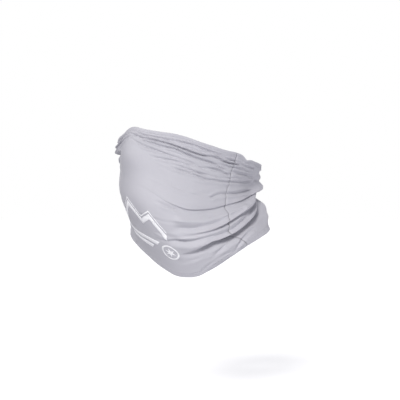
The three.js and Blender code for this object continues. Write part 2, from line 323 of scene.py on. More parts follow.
# Lines that the fine pull lines follow, from the rim to the hem.
PULL_GUIDES = [
    smooth_curve([(0, 0), (360, 0)]),
    smooth_curve(
        [
            (0, 15), (30, 23.5), (60, 28), (90, 31.5), (110, 31), (139, 25), (180, 18), (220, 22),
            (270, 30), (300, 26), (330, 22), (360, 15),
        ]
    ),
    CHEEK_SWOOP.line,
    THROAT_PLEAT.line,
    COLLAR_FOLD.line,
    smooth_curve([(0, 100), (360, 100)]),
]
# The short ones: how many, and the ranges that each is drawn from.
PULL_LINES = 170
PULL_ANGLES = (28, 332)
PULL_LEVELS = (0.08, 4.9)
PULL_HALF_LENGTHS = (7, 24)
PULL_SLANTS = (-0.006, 0.006)
PULL_DEPTHS = (0.1, 0.4)
PULL_HALF_WIDTHS = (0.8, 2.0)
PULL_STRENGTH = [0.45, 0.8, 1, 1, 0.35]
# The long ones, spread over the levels just under the rim.
LONG_PULLS = 16
LONG_FIRST_LEVEL = 0.16
LONG_LEVELS = 0.8
LONG_LEVEL_SHIFTS = (-0.03, 0.03)
LONG_STARTS = (8, 34)
LONG_ENDS = (88, 135)
LONG_DRIFTS = (-0.06, 0.06)
LONG_DEPTHS = (0.2, 0.5)
LONG_HALF_WIDTHS = (0.7, 1.0)


def pull_path(angle, level):
    """Percent down at an angle, on a level between two neighbouring guide lines."""
    lower = int(np.clip(level, 0, len(PULL_GUIDES) - 1.001))
    part = level - lower
    turned = np.asarray(angle) % 360
    return (1 - part) * PULL_GUIDES[lower](turned) + part * PULL_GUIDES[lower + 1](turned)


def crease_height(angle, seen, height, depth, half_width, points):
    """The dip of one crease, with the soft banks that stand along both its sides."""
    places = np.array(points, float)[:, 0]
    middle = 0.5 * (places[0] + places[-1])
    turned = wrapped(angle - middle) + middle
    start = smooth_step((turned - places[0]) / CREASE_FADE + CREASE_EARLY_START)
    end = smooth_step((places[-1] - turned) / CREASE_FADE)
    distance = np.abs(seen - smooth_curve(points)(turned) / 100 * height)
    valley = np.exp(-((distance / half_width) ** VALLEY_SHARPNESS))
    banks = BANK_HEIGHT * bell(distance - BANK_OFFSET * half_width, BANK_SPREAD * half_width)
    return CREASE_STRENGTH * depth * start * end * (banks - valley)


def mirrored(creases, random):
    """The same kind of gathers on the far side of the face, each a little different."""
    found = []
    for depth, half_width, points in creases:
        drop = random.uniform(-FAR_SIDE_DROP, FAR_SIDE_DROP)
        turn = random.uniform(-FAR_SIDE_TURN, FAR_SIDE_TURN)
        far = [(-(angle + turn), percent + drop) for angle, percent in reversed(points)]
        found.append((depth * FAR_SIDE_SHARE, half_width, far))
    return found


def random_pull_lines(random):
    """Fine lines of tension at the sides and the nape. The front, under the print, stays smooth."""
    found = []
    for _ in range(PULL_LINES):
        middle = random.uniform(*PULL_ANGLES)
        level = random.uniform(*PULL_LEVELS)
        half = random.uniform(*PULL_HALF_LENGTHS)
        slant = random.uniform(*PULL_SLANTS)
        places = np.linspace(middle - half, middle + half, 5)
        points = [(a, float(pull_path(a, level + slant * (a - middle)))) for a in places]
        depth = random.uniform(*PULL_DEPTHS) * random.choice([1, 1, -1]) * PULL_STRENGTH[int(level)]
        found.append((depth, random.uniform(*PULL_HALF_WIDTHS), points))
    return found


def long_pull_lines(random):
    """Long thin creases from beside the nose to behind the ear, on both sides of the face."""
    found = []
    for number in range(LONG_PULLS):
        side = 1 if number % 2 == 0 else -1
        level = LONG_FIRST_LEVEL + LONG_LEVELS * number / LONG_PULLS + random.uniform(*LONG_LEVEL_SHIFTS)
        start = random.uniform(*LONG_STARTS)
        end = random.uniform(*LONG_ENDS)
        places = np.linspace(start, end, 6)
        spread = np.linspace(0, random.uniform(*LONG_DRIFTS), 6)
        points = [(side * a, float(pull_path(a, level + s))) for a, s in zip(places, spread)]
        found.append((random.uniform(*LONG_DEPTHS), random.uniform(*LONG_HALF_WIDTHS), points[::side]))
    return found


def soft_ramp(value, length):
    """0 before the ramp, its length after it, with both ends rounded."""

    def rounded(x):
        return FOLD_ROUNDING * np.logaddexp(0, x / FOLD_ROUNDING)

    return rounded(value) - rounded(value - length)


def fold_cloth(angle, down):
    """Distance seen below the rim, and lift off the base surface, at a share of the cloth's length."""
    height = tube_height(angle)
    depths = [fold.depth(angle) for fold in FOLDS]
    cloth = down * (height + 2 * sum(depths))
    seen = cloth.copy()
    used = np.zeros_like(cloth)
    passed = []
    for fold, depth in zip(FOLDS, depths):
        line = fold.line(angle % 360) / 100 * height
        along = cloth - (line + 2 * used)
        seen = seen - 2 * soft_ramp(along, depth)
        used = used + depth
        passed.append((line, fold.turned_under(along, depth)))
    seen = np.clip(seen, 0, height)
    lift = np.zeros_like(cloth)
    for fold, depth, (line, under) in zip(FOLDS, depths, passed):
        size = np.minimum(depth / fold.full, 1)
        above = line - seen
        reach = np.where(above < fold.bulge_up, fold.bulge_up + 1, fold.reach_up)
        upper = fold.bulge * bell(above - fold.bulge_up, reach)
        lower = -fold.tuck * bell(np.maximum(-above, 0), fold.reach_down)
        lift = lift + size * ((1 - under) * upper + under * lower)
    line, under = passed[-1]
    lift = lift + band_push(angle, seen, height, line, under) + pockets(angle, seen, height, under)
    return seen, height, lift


# Hollows where a fold pinches: (angle, percent down, depth, spread round, spread down).
POCKETS = [
    (80, 81.5, 4, 7, 4),
    (126, 70, 5, 9, 5),
    (132, 61, 3, 6, 4),
    (150, 50, 4, 9, 5),
    (215, 50, 4, 12, 5),
]


def pockets(angle, seen, height, under):
    """The pinched hollows under the deepest fold."""
    hollow = 0
    for middle, percent, depth, spread, drop in POCKETS:
        off = seen - percent / 100 * height
        hollow = hollow - depth * bell(wrapped(angle - middle), spread) * bell(off, drop)
    return under * hollow


def band_push(angle, seen, height, line, under):
    """At the sides of the neck and the nape the band under the deepest fold leans out on the collar."""
    out = BAND_PUSH * smooth_step((seen - line) / BAND_DROP)
    pulled = BAND_HEM_PULL * smooth_step((seen / height - BAND_HEM_START) / (1 - BAND_HEM_START))
    return under * BAND_WINDOW(angle % 360) * np.maximum(out - pulled, 0)


def cloth_grid(columns, downs):
    """Points of the cloth's outer face for every column (nominal cloth angle) and row."""
    random = np.random.default_rng(SEED)
    nominal, down = np.meshgrid(columns, downs, indexing="ij")
    angle = nominal.copy()
    for _ in range(SETTLE_ROUNDS):
        seen, height, lift = fold_cloth(angle, down)
        shift = (SEAM_PATH(seen / height) - LEFT_SEAM) * bell(wrapped(nominal - LEFT_SEAM), SEAM_SPREAD)
        angle = nominal + shift
    seen, height, lift = fold_cloth(angle, down)
    creases = RIM_GATHERS + NECK_CREASES + mirrored(RIM_GATHERS, random)
    creases = creases + random_pull_lines(random) + long_pull_lines(random)
    for depth, half_width, points in creases:
        lift = lift + crease_height(angle, seen, height, depth, half_width, points)
    lift = lift + hem_relief(nominal, seen, height)
    share = seen / height
    point = base_surface(angle, share)
    turn, step = NORMAL_STEP_ANGLE, NORMAL_STEP_SHARE
    across = base_surface(angle + turn, share) - base_surface(angle - turn, share)
    along = base_surface(angle, share + step) - base_surface(angle, share - step)
    normal = np.cross(along, across)
    normal /= np.linalg.norm(normal, axis=-1, keepdims=True)
    return point + normal * lift[..., None]


# The two needle rows of a hem: how far in from the hem's own edge, and how deep they pull the cloth.
NEEDLE_INSETS = [0.6, 3.6]
NEEDLE_DENTS = [0.3, 0.2]
NEEDLE_DENT_WIDTH = 0.6
HEM_FADE = 0.8
SEAM_GROOVE = 0.8
SEAM_GROOVE_WIDTH = 1.1
SEAM_BANK = 0.15
SEAM_BANK_OFFSET = 2.6
SEAM_BANK_WIDTH = 1.5


def double_cloth(from_edge):
    """The step of a hem's second layer, by the distance in from the edge."""
    return HEM_STEP * (1 - smooth_step((from_edge - HEM_DEPTH) / HEM_FADE))


def hem_relief(nominal, seen, height):
    """The double cloth of the two hems, their stitch lines, and the groove of each side seam."""
    from_edge = np.minimum(seen, height - seen)
    relief = double_cloth(from_edge)
    for inset, dent in zip(NEEDLE_INSETS, NEEDLE_DENTS):
        relief = relief - dent * bell(from_edge - HEM_DEPTH + inset, NEEDLE_DENT_WIDTH)
    for seam in (LEFT_SEAM, RIGHT_SEAM):
        off = wrapped(nominal - seam) * MM_PER_DEGREE
        groove = SEAM_GROOVE * bell(off, SEAM_GROOVE_WIDTH)
        relief = relief - groove + SEAM_BANK * bell(np.abs(off) - SEAM_BANK_OFFSET, SEAM_BANK_WIDTH)
    return relief


def column_angles():
    """Even columns, with closer ones beside each seam."""
    angles = [LEFT_SEAM, RIGHT_SEAM]
    for seam in (LEFT_SEAM, RIGHT_SEAM):
        for off in SEAM_COLUMNS:
            angles += [seam - off / MM_PER_DEGREE, seam + off / MM_PER_DEGREE]
    for angle in np.arange(0, 360, COLUMN_STEP):
        if min(abs(angle - LEFT_SEAM), abs(angle - RIGHT_SEAM)) > 2 * COLUMN_STEP:
            angles.append(angle)
    return np.array(sorted(angles))


COLUMNS = column_angles()
DOWNS = np.linspace(0, 1, ROWS)
CLOTH = cloth_grid(COLUMNS, DOWNS)


def grid_normals(points):
    """Directions out of the outer face of a closed grid of columns by rows."""
    across = np.roll(points, -1, 0) - np.roll(points, 1, 0)
    down = np.gradient(points, axis=1)
    normal = np.cross(down, across)
    return normal / np.maximum(np.linalg.norm(normal, axis=-1, keepdims=True), 1e-9)


CLOTH_NORMALS = grid_normals(CLOTH)
CLOTH_LENGTH = np.linalg.norm(np.diff(CLOTH, axis=1), axis=-1).sum(1)


def place(angle, down, lift):
    """Points on the cloth at nominal angles and shares of its length, raised off the outer face."""
    angle, down, lift = np.broadcast_arrays(np.asarray(angle, float) % 360, down, lift)
    count = len(COLUMNS)
    marks = np.append(COLUMNS, COLUMNS[0] + 360)
    column = np.interp(np.where(angle < COLUMNS[0], angle + 360, angle), marks, np.arange(count + 1))
    row = np.clip(down, 0, 1) * (ROWS - 1)
    i = np.minimum(column.astype(int), count - 1)
    j = np.minimum(row.astype(int), ROWS - 2)
    s = (column - i)[..., None]
    t = (row - j)[..., None]
    following = (i + 1) % count

    def blended(grid):
        near = grid[i, j] * (1 - t) + grid[i, j + 1] * t
        far = grid[following, j] * (1 - t) + grid[following, j + 1] * t
        return near * (1 - s) + far * s

    return blended(CLOTH) + blended(CLOTH_NORMALS) * lift[..., None]


def cloth_length(angle):
    """The cloth's length from rim to hem at a nominal angle, folds included."""
    return np.interp(np.asarray(angle) % 360, COLUMNS, CLOTH_LENGTH, period=360)


# ---- mesh helpers


def make_piece(name, node, slot, vertices, faces, uvs=None):
    """A smooth-shaded piece from points in millimetres, with its finish, hung under the root body; the CAD
    node that it replaces is hidden.
    """
    mesh = bpy.data.meshes.new(name)
    mesh.from_pydata((np.asarray(vertices, float) * MM).tolist(), [], faces)
    mesh.materials.append(MATERIALS[slot])
    mesh.shade_smooth()
    if uvs is not None:
        layer = mesh.uv_layers.new(name="cloth")
        corners = np.zeros(len(mesh.loops), int)
        mesh.loops.foreach_get("vertex_index", corners)
        layer.data.foreach_set("uv", (np.asarray(uvs, float)[corners] * MM).ravel())
    mesh.update()
    piece = bpy.data.objects.new(name, mesh)
    bpy.context.scene.collection.objects.link(piece)
    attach(piece, "root")
    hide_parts(node)
    return piece


def tube_faces(sections, sides, first=0):
    """Quads between closed sections of points that follow one another."""
    faces = []
    for i in range(sections - 1):
        a = first + i * sides
        b = a + sides
        for j in range(sides):
            k = (j + 1) % sides
            faces.append((a + j, a + k, b + k, b + j))
    return faces


class TubeSet:
    """Many thread-like tubes in one mesh."""

    def __init__(self, radius, sides):
        self.radius = radius
        self.sides = sides
        self.vertices = []
        self.faces = []

    def add(self, path):
        """A tube with capped ends along a path of points."""
        path = np.asarray(path, float)
        ahead = np.gradient(path, axis=0)
        ahead /= np.maximum(np.linalg.norm(ahead, axis=1, keepdims=True), 1e-9)
        up = np.where(np.abs(ahead[:, 2:]) < 0.8, [[0.0, 0.0, 1.0]], [[1.0, 0.0, 0.0]])
        side = np.cross(ahead, up)
        side /= np.linalg.norm(side, axis=1, keepdims=True)
        top = np.cross(side, ahead)
        turn = np.linspace(0, 2 * math.pi, self.sides, endpoint=False)
        ring = side[:, None] * np.cos(turn)[:, None] + top[:, None] * np.sin(turn)[:, None]
        first = len(self.vertices)
        self.vertices += (path[:, None] + self.radius * ring).reshape(-1, 3).tolist()
        self.faces += tube_faces(len(path), self.sides, first)
        end = first + (len(path) - 1) * self.sides
        self.faces.append(tuple(range(first + self.sides - 1, first - 1, -1)))
        self.faces.append(tuple(range(end, end + self.sides)))


# ---- materials


class Shader:
    """A node material with short ways to add and join its nodes."""

    def __init__(self, name):
        self.material = bpy.data.materials.new(name)
        self.material.use_nodes = True
        self.tree = self.material.node_tree
        self.surface = self.tree.nodes["Principled BSDF"]

    def add(self, kind, **settings):
        node = self.tree.nodes.new(kind)
        for key, value in settings.items():
            setattr(node, key, value)
        return node

    def join(self, output, entry):
        self.tree.links.new(output, entry)

    def maths(self, operation, first, second=None):
        """A math node on two values, each of them a number or another node's output."""
        node = self.add("ShaderNodeMath", operation=operation)
        for entry, value in zip(node.inputs, (first, second)):
            if isinstance(value, (int, float)):
                entry.default_value = value
            elif value is not None:
                self.join(value, entry)
        return node.outputs[0]

    def solid(self):
        """Coordinates fixed to the piece."""
        return self.add("ShaderNodeTexCoord").outputs["Object"]

    def cloth_uv(self):
        """Metres round and down the cloth."""
        return self.add("ShaderNodeUVMap", uv_map="cloth").outputs["UV"]

    def split(self, vector):
        node = self.add("ShaderNodeSeparateXYZ")
        self.join(vector, node.inputs[0])
        return node.outputs

    def wave(self, value, pitch):
        return self.maths("SINE", self.maths("MULTIPLY", value, 2 * math.pi / pitch))

    def near_one(self, value, swing):
        return self.maths("ADD", self.maths("MULTIPLY", value, swing), 1.0)

    def noise(self, coordinates, scale, detail=2.0, roughness=0.5):
        node = self.add("ShaderNodeTexNoise")
        node.inputs["Scale"].default_value = scale
        node.inputs["Detail"].default_value = detail
        node.inputs["Roughness"].default_value = roughness
        self.join(coordinates, node.inputs["Vector"])
        return node.outputs["Fac"]

    def ramp(self, value, low, high):
        """The value spread from its usual middle band to between two ends."""
        node = self.add("ShaderNodeMapRange")
        for entry, number in (("From Min", 0.3), ("From Max", 0.7), ("To Min", low), ("To Max", high)):
            node.inputs[entry].default_value = number
        self.join(value, node.inputs["Value"])
        return node.outputs["Result"]

    def tint(self, colour, strengths):
        """The colour, made lighter or darker by each of several factors near 1."""
        total = strengths[0]
        for strength in strengths[1:]:
            total = self.maths("MULTIPLY", total, strength)
        node = self.add("ShaderNodeVectorMath", operation="SCALE")
        node.inputs[0].default_value = colour
        self.join(total, node.inputs["Scale"])
        self.join(node.outputs["Vector"], self.surface.inputs["Base Color"])

    def bump(self, height, distance, strength=1.0):
        node = self.add("ShaderNodeBump")
        node.inputs["Strength"].default_value = strength
        node.inputs["Distance"].default_value = distance
        self.join(height, node.inputs["Height"])
        self.join(node.outputs["Normal"], self.surface.inputs["Normal"])

    def roughness(self, value, low, high):
        self.join(self.ramp(value, low, high), self.surface.inputs["Roughness"])

    def set(self, **values):
        """Plain values on the shader's own sockets."""
        for key, value in values.items():
            self.surface.inputs[key.replace("_", " ")].default_value = value


SLOT_COLOURS = {m["slot"]: m["base_color"] for m in frame["record"]["materials"]}
WALE_PITCH = 0.0011
COURSE_PITCH = 0.0009
WARP_PITCH = 0.0004
WEFT_PITCH = 0.0007
# Width and strength of the painted shade along each side seam.
SEAM_SHADE_WIDTH = 0.0007
SEAM_SHADE = 0.32


def seam_shade(shader, across):
    """Painted shade: the knit colour is made darker along each side seam, standing in for the shade in the
    seam's crease. across is metres round the tube from the front.
    """
    turned = shader.maths("PINGPONG", across, 180 * MM_PER_DEGREE * MM)
    off = shader.maths("SUBTRACT", turned, LEFT_SEAM * MM_PER_DEGREE * MM)
    steep = shader.maths("MULTIPLY", shader.maths("MULTIPLY", off, off), -1 / SEAM_SHADE_WIDTH**2)
    pinched = shader.maths("EXPONENT", steep)
    return shader.maths("SUBTRACT", 1.0, shader.maths("MULTIPLY", pinched, SEAM_SHADE))


def knit_material():
    """Smooth fine jersey: wales and courses, a soft sheen, slightly uneven dye, and painted shade along the
    side seams.
    """
    shader = Shader("stretch knit")
    uv = shader.cloth_uv()
    round_tube, down_tube, _ = shader.split(uv)
    wale = shader.wave(round_tube, WALE_PITCH)
    leg = shader.maths("MULTIPLY", shader.maths("ABSOLUTE", wale), 1.6)
    course_turn = shader.maths("MULTIPLY", down_tube, 2 * math.pi / COURSE_PITCH)
    course = shader.maths("SINE", shader.maths("ADD", course_turn, leg))
    loops = shader.maths("MULTIPLY", shader.maths("ADD", course, wale), 0.5)
    solid = shader.solid()
    fuzz = shader.noise(uv, 2600, detail=3, roughness=0.7)
    uneven = shader.noise(solid, 45, detail=3)
    dye = shader.noise(solid, 14, detail=2)
    height = 0.0
    for layer, share in ((loops, 0.35), (fuzz, 0.5), (uneven, 1.2)):
        height = shader.maths("ADD", shader.maths("MULTIPLY", layer, share), height)
    shader.bump(height, 0.00012, 0.6)
    strengths = [
        shader.ramp(dye, 0.91, 0.95),
        shader.ramp(uneven, 0.985, 1.015),
        shader.ramp(fuzz, 0.965, 1.035),
        shader.near_one(loops, 0.03),
        # Painted shade along both side seams.
        seam_shade(shader, round_tube),
    ]
    shader.tint(SLOT_COLOURS["knit"], strengths)
    shader.roughness(uneven, 0.62, 0.74)
    shader.set(Specular_IOR_Level=0.3, Sheen_Weight=0.12, Sheen_Roughness=0.45)
    return shader.material


def thread_material():
    """Spun polyester thread with a slanting twist."""
    shader = Shader("sewing thread")
    solid = shader.solid()
    x, y, z = shader.split(solid)
    slant = shader.maths("ADD", x, shader.maths("ADD", y, z))
    twist = shader.maths("SINE", shader.maths("MULTIPLY", slant, 9000))
    fibre = shader.noise(solid, 3000, detail=2)
    shader.bump(shader.maths("ADD", twist, fibre), 0.00005, 0.5)
    shader.tint(SLOT_COLOURS["thread"], [shader.near_one(twist, 0.06), shader.ramp(fibre, 0.94, 1.06)])
    shader.roughness(fibre, 0.55, 0.7)
    shader.set(Specular_IOR_Level=0.3, Sheen_Weight=0.15)
    return shader.material


def print_material():
    """White screen-printed ink over the knit, a little thin and cracked in places."""
    shader = Shader("printed ink")
    solid = shader.solid()
    grain = shader.noise(solid, 1700, detail=3, roughness=0.6)
    wear = shader.noise(solid, 160, detail=4, roughness=0.6)
    shader.bump(grain, 0.00006, 0.4)
    shader.tint(SLOT_COLOURS["print"], [shader.ramp(grain, 1.06, 1.1), shader.ramp(wear, 0.99, 1.01)])
    shader.roughness(grain, 0.42, 0.56)
    shader.set(Specular_IOR_Level=0.4)
    return shader.material


def label_material():
    """Plain woven satin ribbon."""
    shader = Shader("label ribbon")
    uv = shader.cloth_uv()
    along, across, _ = shader.split(uv)
    weave = shader.maths("MULTIPLY", shader.wave(along, WARP_PITCH), shader.wave(across, WEFT_PITCH))
    fibre = shader.noise(uv, 2500, detail=2)
    shader.bump(shader.maths("ADD", weave, fibre), 0.00004, 0.5)
    shader.tint(SLOT_COLOURS["label"], [shader.near_one(weave, 0.03), shader.ramp(fibre, 0.97, 1.03)])
    shader.roughness(fibre, 0.34, 0.46)
    shader.set(Specular_IOR_Level=0.5)
    return shader.material


MATERIALS = {
    "knit": knit_material(),
    "thread": thread_material(),
    "print": print_material(),
    "label": label_material(),
}

# ---- the two panels

SEAM_OPENING = 0.12
COLUMN_MARGIN = 0.05
EDGE_ROUNDING = 0.45
SHARP_ANGLE = 70


def panel_columns(start, end):
    """Nominal angles of one panel's columns, ending just short of the seam at each side."""
    low = start + COLUMN_MARGIN
    high = end - COLUMN_MARGIN
    inside = [a for a in np.concatenate([COLUMNS - 360, COLUMNS]) if low < a < high]
    opening = SEAM_OPENING / MM_PER_DEGREE
    return np.array([start + opening, *inside, end - opening])


def make_panel(name, node, start, end):
    """One panel as a closed shell: outer face, inner face and the four rounded edges."""
    angles = panel_columns(start, end)
    nominal, down = np.meshgrid(angles, DOWNS, indexing="ij")
    from_edge = np.minimum(down, 1 - down) * cloth_length(nominal)
    thickness = CLOTH_THICKNESS + double_cloth(from_edge)
    outer = place(nominal, down, 0.0)
    inner = place(nominal, down, -thickness)
    edges = []
    for edge, ahead in ((0, 1), (-1, -2)):
        middle = 0.5 * (outer[:, edge] + inner[:, edge])
        away = outer[:, edge] - outer[:, ahead]
        away /= np.linalg.norm(away, axis=-1, keepdims=True)
        edges.append((middle + EDGE_ROUNDING * thickness[:, edge, None] * away)[:, None])
    top, bottom = edges
    ring = np.concatenate([top, outer, bottom, inner[:, ::-1]], 1)
    across, along = ring.shape[:2]
    faces = tube_faces(across, along)
    for column, outward in ((0, True), (across - 1, False)):
        first = column * along
        for j in range(ROWS - 1):
            out_a = first + 1 + j
            in_a = first + along - 1 - j
            quad = (out_a, in_a, in_a - 1, out_a + 1)
            faces.append(quad if outward else quad[::-1])
        for triangle in (
            (first, first + along - 1, first + 1),
            (first + ROWS + 1, first + ROWS, first + ROWS + 2),
        ):
            faces.append(triangle if outward else triangle[::-1])
    around = np.repeat(angles * MM_PER_DEGREE, along).reshape(across, along)
    lengths = cloth_length(angles)
    shares = np.concatenate([[0], DOWNS, [1], DOWNS[::-1]])
    downward = lengths[:, None] * shares
    uvs = np.stack([around, downward], -1).reshape(-1, 2)
    panel = make_piece(name, node, "knit", ring.reshape(-1, 3), faces, uvs)
    panel.data.set_sharp_from_angle(angle=math.radians(SHARP_ANGLE))
    return panel


front_panel = make_panel("front_panel_cloth", "front_panel", RIGHT_SEAM - 360, LEFT_SEAM)
back_panel = make_panel("back_panel_cloth", "back_panel", LEFT_SEAM, RIGHT_SEAM)

# ---- hem stitching

STITCH_LENGTH = 3.0
STITCH_GAP = 0.7
STITCH_RADIUS = 0.2
STITCH_LIFTS = np.array([-0.25, 0.1, 0.16, 0.1, -0.25])
THREAD_SIDES = 6
NEEDLE_ROWS = [HEM_DEPTH - inset for inset in NEEDLE_INSETS]
LOOPER_STEP = 1.5
LOOPER_REACH = 0.4


def edge_share(angle, distance, from_top):
    """The share of the cloth's length at a distance in from its top or bottom edge."""
    share = distance / cloth_length(angle)
    return share if from_top else 1 - share


def hem_stitching(name, node, from_top):
    """Two rows of straight stitches outside, and the looper thread that zigzags between them inside."""
    threads = TubeSet(STITCH_RADIUS, THREAD_SIDES)
    step = (STITCH_LENGTH + STITCH_GAP) / MM_PER_DEGREE
    for distance in NEEDLE_ROWS:
        for start in np.arange(0, 360 - 0.5 * step, step):
            angle = start + np.linspace(0, STITCH_LENGTH / MM_PER_DEGREE, len(STITCH_LIFTS))
            threads.add(place(angle, edge_share(angle, distance, from_top), STITCH_LIFTS))
    angle = np.arange(0, 360, LOOPER_STEP / MM_PER_DEGREE)
    high, low = NEEDLE_ROWS[0] + LOOPER_REACH, NEEDLE_ROWS[1] - LOOPER_REACH
    swing = np.where(np.arange(len(angle)) % 2 == 0, high, low)
    inside = -(CLOTH_THICKNESS + HEM_STEP + STITCH_RADIUS)
    threads.add(place(angle, edge_share(angle, swing, from_top), inside))
    return make_piece(name, node, "thread", threads.vertices, threads.faces)


top_stitching = hem_stitching("top_hem_coverstitch", "top_hem_stitching", True)
bottom_stitching = hem_stitching("bottom_hem_coverstitch", "bottom_hem_stitching", False)

# ---- side seams

ALLOWANCE_WIDTH = 5.5
ALLOWANCE_THICKNESS = 1.1
OVERLOCK_STEP = 1.7
ALLOWANCE_OVERLAP = 0.9
ALLOWANCE_CLEARANCE = 0.3
ALLOWANCE_ROWS = 170
ALLOWANCE_SIDES = 12
ALLOWANCE_INSET = 0.006
ALLOWANCE_ROUNDING = 0.6
OVERLOCK_RADIUS = 0.24
OVERLOCK_INSET = 0.01
OVERLOCK_EDGES = (0.5, ALLOWANCE_WIDTH + 0.2)
OVERLOCK_GAP = 0.15
PRESS = 0.95
PRESS_SPREAD = 5


def pressed_lift(seam, down, lift):
    """The lift of the allowance off the outer face, pressed thin where the seam turns in a fold."""
    along = np.asarray(down) * (tube_height(seam) + 2 * sum(fold.depth(seam) for fold in FOLDS))
    free = np.ones_like(along)
    used = 0
    for fold in FOLDS:
        lip = fold.line(seam) / 100 * tube_height(seam) + 2 * used
        for turn in (lip, lip + fold.depth(seam)):
            free = np.minimum(free, 1 - PRESS * bell(along - turn, PRESS_SPREAD))
        used = used + fold.depth(seam)
    return -CLOTH_THICKNESS + (lift + CLOTH_THICKNESS) * free


def squared(wave):
    """A sine or cosine made blunter, so that a section drawn with it is a rounded strip."""
    return np.sign(wave) * np.abs(wave) ** ALLOWANCE_ROUNDING


def seam_overlock(name, node, seam):
    """The trimmed allowance, laid over towards the back, with overlock thread zigzagged over it."""
    threads = TubeSet(OVERLOCK_RADIUS, THREAD_SIDES)
    downs = np.linspace(ALLOWANCE_INSET, 1 - ALLOWANCE_INSET, ALLOWANCE_ROWS)
    turn = np.linspace(0, 2 * math.pi, ALLOWANCE_SIDES, endpoint=False)
    backward = 1 if seam == LEFT_SEAM else -1
    middle = -(CLOTH_THICKNESS + ALLOWANCE_CLEARANCE + 0.5 * ALLOWANCE_THICKNESS)
    width = 0.5 * ALLOWANCE_WIDTH * (1 + squared(np.cos(turn)))
    lift = middle + 0.5 * ALLOWANCE_THICKNESS * squared(np.sin(turn))
    angle = seam + backward * (width - ALLOWANCE_OVERLAP) / MM_PER_DEGREE
    pressed = pressed_lift(seam, downs[:, None], lift[None, :])
    strip = place(angle[None, :], downs[:, None], pressed)
    threads.vertices += strip.reshape(-1, 3).tolist()
    sides = ALLOWANCE_SIDES
    start = tuple(range(sides - 1, -1, -1))
    end = tuple(range((ALLOWANCE_ROWS - 1) * sides, ALLOWANCE_ROWS * sides))
    shell = [*tube_faces(ALLOWANCE_ROWS, sides), start, end]
    threads.faces += shell if backward > 0 else [face[::-1] for face in shell]
    steps = int(cloth_length(seam) / OVERLOCK_STEP)
    down = np.linspace(OVERLOCK_INSET, 1 - OVERLOCK_INSET, 2 * steps)
    across = np.where(np.arange(2 * steps) % 2 == 0, *OVERLOCK_EDGES)
    angle = seam + backward * across / MM_PER_DEGREE
    over = middle - 0.5 * ALLOWANCE_THICKNESS - OVERLOCK_GAP
    threads.add(place(angle, down, pressed_lift(seam, down, over)))
    return make_piece(name, node, "thread", threads.vertices, threads.faces)


left_overlock = seam_overlock("left_seam_thread", "left_seam_overlock", LEFT_SEAM)
right_overlock = seam_overlock("right_seam_thread", "right_seam_overlock", RIGHT_SEAM)

# ---- printed marks

MARK_LINE = 3.4
RIDGE_WIDTH = 100
RIDGE_HEIGHT = 52
RIDGE_ANGLE = 0
RIDGE_SHARE = 0.67
BADGE_ANGLE = 30
BADGE_SHARE = 0.83
INK_BOTTOM = 0.05
INK_TOP = 0.22
INK_MESH = 1.3
SPOT_HALF_TURN = 60
SPOT_COLUMNS = 241
BAR_THICKNESS = 1.5 * MARK_LINE
BAR_WIDTH_SHARES = [0.76, 0.5]
BAR_HEIGHT_SHARES = [-0.72, -1.03]


class PrintSpot:
    """A flat patch of cloth round one point, for shapes drawn in millimetres on it."""

    def __init__(self, angle, share):
        self.angles = angle + np.linspace(-SPOT_HALF_TURN, SPOT_HALF_TURN, SPOT_COLUMNS)
        row = place(self.angles, share, 0.0)
        self.across = self.distances(row, angle, self.angles)
        column = place(angle, DOWNS, 0.0)
        self.along = self.distances(column, share, DOWNS)

    @staticmethod
    def distances(points, middle, places):
        steps = np.linalg.norm(np.diff(points, axis=0), axis=1)
        total = np.concatenate([[0], np.cumsum(steps)])
        return total - np.interp(middle, places, total)

    def place(self, flat, lift):
        angle = np.interp(flat[:, 0], self.across, self.angles)
        down = np.interp(-flat[:, 1], self.along, DOWNS)
        return place(angle, down, lift)


def ring_points(outline, step):
    """An outline's points, with more between them so that no side is long."""
    found = []
    for a, b in zip(outline, np.roll(outline, -1, 0)):
        count = max(1, math.ceil(np.linalg.norm(b - a) / step))
        found += [a + (b - a) * part / count for part in range(count)]
    return np.array(found)


def inside_outline(points, outline):
    """Which points lie inside a closed outline."""
    inside = np.zeros(len(points), bool)
    for a, b in zip(outline, np.roll(outline, -1, 0)):
        crosses = (a[1] > points[:, 1]) != (b[1] > points[:, 1])
        with np.errstate(divide="ignore", invalid="ignore"):
            at = a[0] + (points[:, 1] - a[1]) * (b[0] - a[0]) / (b[1] - a[1])
        inside ^= crosses & (points[:, 0] < at)
    return inside


def ink_film(name, node, spot, outlines):
    """A thin closed film of ink: filled outlines, with a hole where one lies in another."""
    rings = [ring_points(np.array(outline, float), INK_MESH) for outline in outlines]
    points = np.concatenate(rings)
    low, high = points.min(0), points.max(0)
    xs = np.arange(low[0], high[0], INK_MESH)
    ys = np.arange(low[1], high[1], INK_MESH)
    fill = np.stack(np.meshgrid(xs, ys), -1).reshape(-1, 2)
    near = np.linalg.norm(fill[:, None] - points[None], axis=-1).min(1) > 0.6 * INK_MESH
    fill = fill[near & (sum(inside_outline(fill, ring) for ring in rings) % 2 == 1)]
    edges = []
    first = 0
    for ring in rings:
        edges += [(first + i, first + (i + 1) % len(ring)) for i in range(len(ring))]
        first += len(ring)
    everything = [Vector(p) for p in np.concatenate([points, fill])]
    flat, _, triangles, _, _, _ = delaunay_2d_cdt(everything, edges, [], 0, 1e-6)
    flat = np.array([tuple(p) for p in flat])
    corners = np.array([tuple(t) for t in triangles])
    middles = flat[corners].mean(1)
    kept = corners[sum(inside_outline(middles, ring) for ring in rings) % 2 == 1]
    turns = np.cross(flat[kept[:, 1]] - flat[kept[:, 0]], flat[kept[:, 2]] - flat[kept[:, 0]])
    kept = np.where((turns > 0)[:, None], kept, kept[:, ::-1]).tolist()
    count = len(flat)
    faces = [tuple(t) for t in kept]
    faces += [tuple(c + count for c in reversed(t)) for t in kept]
    seen = {(a, b) for t in kept for a, b in zip(t, t[1:] + t[:1])}
    for a, b in seen:
        if (b, a) not in seen:
            faces.append((b, a, a + count, b + count))
    vertices = np.concatenate([spot.place(flat, INK_TOP), spot.place(flat, INK_BOTTOM)])
    return make_piece(name, node, "print", vertices, faces)


